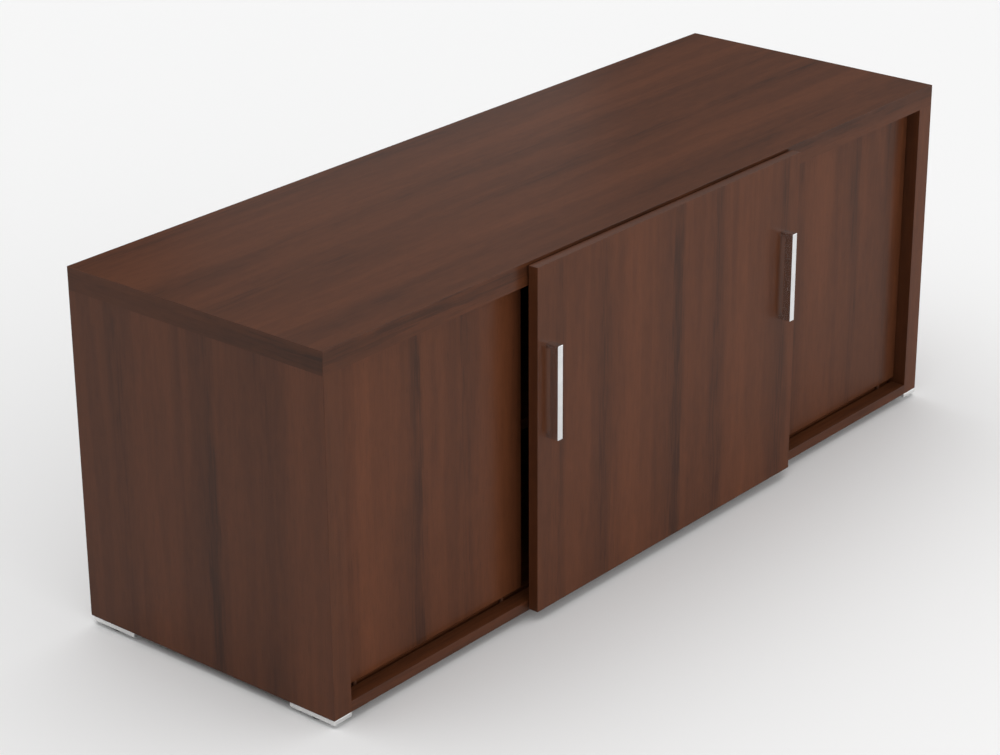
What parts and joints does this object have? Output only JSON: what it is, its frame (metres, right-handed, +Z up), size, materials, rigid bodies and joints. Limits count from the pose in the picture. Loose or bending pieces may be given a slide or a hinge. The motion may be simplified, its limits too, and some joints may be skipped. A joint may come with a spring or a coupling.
{
  "type": "office credenza",
  "caption": "Low wooden office credenza with an overlay sliding door, recessed inner sliding doors, bar handles, shelved bays and metal foot plates on round glides.",
  "frame": {"origin": "on the floor, under the middle of the overall box", "axes": "+Z up, +X along the width to the right as seen from the front, the doors face -Y"},
  "size_m": [1.6, 0.573, 0.608],
  "materials": {
    "walnut_board": "satin dark walnut decor with soft dark streaks",
    "handle_metal": "polished",
    "foot_metal": "satin",
    "glide_plastic": "moulded black",
    "track_metal": "extruded, anodised",
    "fitting_steel": "zinc plated",
    "wheel_nylon": "moulded nylon",
    "guide_plastic": "moulded brown"
  },
  "bodies": {
    "carcass": {"top_panel": "walnut_board", "left_side_panel": "walnut_board", "right_side_panel": "walnut_board", "bottom_panel": "walnut_board", "back_panel": "walnut_board", "left_partition": "walnut_board", "right_partition": "walnut_board", "left_shelf": "walnut_board", "centre_shelf": "walnut_board", "right_shelf": "walnut_board", "left_shelf_pin_front_left": "fitting_steel", "left_shelf_pin_front_right": "fitting_steel", "left_shelf_pin_rear_left": "fitting_steel", "left_shelf_pin_rear_right": "fitting_steel", "centre_shelf_pin_front_left": "fitting_steel", "centre_shelf_pin_front_right": "fitting_steel", "centre_shelf_pin_rear_left": "fitting_steel", "centre_shelf_pin_rear_right": "fitting_steel", "right_shelf_pin_front_left": "fitting_steel", "right_shelf_pin_front_right": "fitting_steel", "right_shelf_pin_rear_left": "fitting_steel", "right_shelf_pin_rear_right": "fitting_steel", "top_track": "track_metal", "track_centre_stop": "guide_plastic", "front_left_foot_plate": "foot_metal", "front_right_foot_plate": "foot_metal", "rear_left_foot_plate": "foot_metal", "rear_right_foot_plate": "foot_metal", "front_left_glide": "glide_plastic", "front_right_glide": "glide_plastic", "rear_left_glide": "glide_plastic", "rear_right_glide": "glide_plastic"},
    "centre_door": {"centre_door": "walnut_board", "left_handle": "handle_metal", "right_handle": "handle_metal", "left_handle_screw_lower": "fitting_steel", "left_handle_screw_upper": "fitting_steel", "right_handle_screw_lower": "fitting_steel", "right_handle_screw_upper": "fitting_steel", "centre_door_left_hanger": "fitting_steel", "centre_door_right_hanger": "fitting_steel", "centre_door_left_guide": "guide_plastic", "centre_door_right_guide": "guide_plastic"},
    "centre_left_wheels": {"centre_door_left_wheelset": "wheel_nylon"},
    "centre_right_wheels": {"centre_door_right_wheelset": "wheel_nylon"},
    "left_inner_door": {"left_inner_door": "walnut_board", "left_inner_door_outer_hanger": "fitting_steel", "left_inner_door_inner_hanger": "fitting_steel", "left_inner_door_outer_peg": "guide_plastic", "left_inner_door_inner_peg": "guide_plastic"},
    "left_outer_wheels": {"left_inner_door_outer_wheelset": "wheel_nylon"},
    "left_inner_wheels": {"left_inner_door_inner_wheelset": "wheel_nylon"},
    "right_inner_door": {"right_inner_door": "walnut_board", "right_inner_door_outer_hanger": "fitting_steel", "right_inner_door_inner_hanger": "fitting_steel", "right_inner_door_outer_peg": "guide_plastic", "right_inner_door_inner_peg": "guide_plastic"},
    "right_outer_wheels": {"right_inner_door_outer_wheelset": "wheel_nylon"},
    "right_inner_wheels": {"right_inner_door_inner_wheelset": "wheel_nylon"}
  },
  "joints": [
    {"name": "centre_door_slide", "type": "slide", "parent": "carcass", "child": "centre_door", "axis": [1, 0, 0], "range_m": [-0.45, 0.45]},
    {"name": "left_inner_door_slide", "type": "slide", "parent": "carcass", "child": "left_inner_door", "axis": [1, 0, 0], "range_m": [0, 0.331]},
    {"name": "right_inner_door_slide", "type": "slide", "parent": "carcass", "child": "right_inner_door", "axis": [1, 0, 0], "range_m": [-0.331, 0]},
    {"name": "centre_left_wheels_turn", "type": "hinge", "parent": "centre_door", "child": "centre_left_wheels", "pos_m": [-0.29, -0.2285, 0.57725], "axis": [0, 1, 0], "continuous": true},
    {"name": "centre_right_wheels_turn", "type": "hinge", "parent": "centre_door", "child": "centre_right_wheels", "pos_m": [0.29, -0.2285, 0.57725], "axis": [0, 1, 0], "continuous": true},
    {"name": "left_outer_wheels_turn", "type": "hinge", "parent": "left_inner_door", "child": "left_outer_wheels", "pos_m": [-0.74, -0.2085, 0.57725], "axis": [0, 1, 0], "continuous": true},
    {"name": "left_inner_wheels_turn", "type": "hinge", "parent": "left_inner_door", "child": "left_inner_wheels", "pos_m": [-0.356, -0.2085, 0.57725], "axis": [0, 1, 0], "continuous": true},
    {"name": "right_outer_wheels_turn", "type": "hinge", "parent": "right_inner_door", "child": "right_outer_wheels", "pos_m": [0.74, -0.2085, 0.57725], "axis": [0, 1, 0], "continuous": true},
    {"name": "right_inner_wheels_turn", "type": "hinge", "parent": "right_inner_door", "child": "right_inner_wheels", "pos_m": [0.356, -0.2085, 0.57725], "axis": [0, 1, 0], "continuous": true}
  ],
  "couplings": [
    {"joint": "centre_left_wheels_turn", "follows": "centre_door_slide", "rad_per_m": 181.82},
    {"joint": "centre_right_wheels_turn", "follows": "centre_door_slide", "rad_per_m": 181.82},
    {"joint": "left_outer_wheels_turn", "follows": "left_inner_door_slide", "rad_per_m": 181.82},
    {"joint": "left_inner_wheels_turn", "follows": "left_inner_door_slide", "rad_per_m": 181.82},
    {"joint": "right_outer_wheels_turn", "follows": "right_inner_door_slide", "rad_per_m": 181.82},
    {"joint": "right_inner_wheels_turn", "follows": "right_inner_door_slide", "rad_per_m": 181.82}
  ]
}
